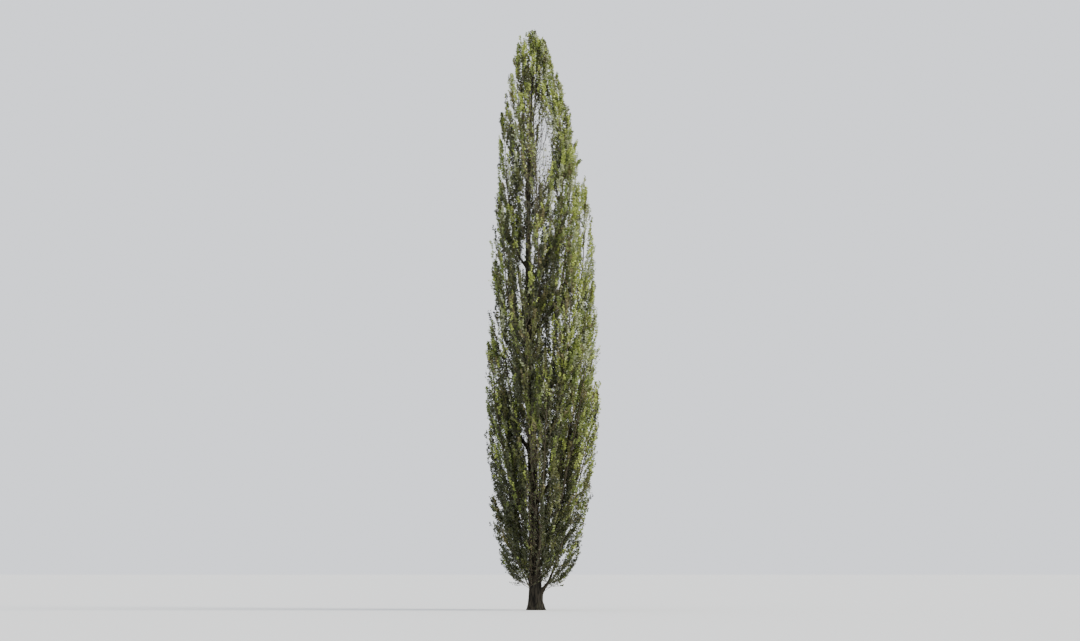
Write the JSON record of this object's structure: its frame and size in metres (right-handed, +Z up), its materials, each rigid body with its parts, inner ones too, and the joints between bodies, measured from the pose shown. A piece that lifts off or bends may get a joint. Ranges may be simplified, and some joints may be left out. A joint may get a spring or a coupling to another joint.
{
  "type": "lombardy poplar tree",
  "caption": "Tall, narrow Lombardy poplar in young spring leaf: a straight tapering trunk, steep boughs and upright plumes of foliage round a gap beside the leader.",
  "frame": {"origin": "middle of the flat cut under the trunk, at ground level", "axes": "+Z up along the trunk; the picture is seen from the -Y side, with +X to the right"},
  "size_m": [4.8172, 4.8224, 24.9982],
  "materials": {
    "bark": "rough, furrowed grey-brown bark",
    "foliage": "soft satin, yellow-green"
  },
  "bodies": {
    "root": {"trunk": "bark", "bough_01": "bark", "bough_02": "bark", "bough_03": "bark", "bough_04": "bark", "bough_05": "bark", "bough_06": "bark", "bough_07": "bark", "bough_08": "bark", "bough_09": "bark", "bough_10": "bark", "bough_11": "bark", "bough_12": "bark", "bough_13": "bark", "bough_14": "bark", "bough_15": "bark", "bough_16": "bark", "bough_17": "bark", "bough_18": "bark", "bough_19": "bark", "bough_20": "bark", "bough_21": "bark", "bough_22": "bark", "foliage_01": "foliage", "foliage_02": "foliage", "foliage_03": "foliage", "foliage_04": "foliage", "foliage_05": "foliage", "foliage_06": "foliage", "foliage_07": "foliage", "foliage_08": "foliage", "foliage_09": "foliage", "foliage_10": "foliage", "foliage_11": "foliage", "foliage_12": "foliage", "foliage_13": "foliage", "foliage_14": "foliage", "foliage_15": "foliage", "foliage_16": "foliage", "foliage_17": "foliage", "foliage_18": "foliage", "foliage_19": "foliage", "foliage_20": "foliage", "foliage_21": "foliage", "foliage_22": "foliage", "foliage_inner_01": "foliage", "foliage_inner_02": "foliage", "foliage_inner_03": "foliage", "foliage_inner_04": "foliage", "foliage_inner_05": "foliage", "foliage_inner_06": "foliage", "foliage_inner_07": "foliage", "foliage_inner_08": "foliage", "foliage_inner_09": "foliage", "foliage_inner_10": "foliage", "foliage_tip": "foliage"}
  },
  "joints": []
}
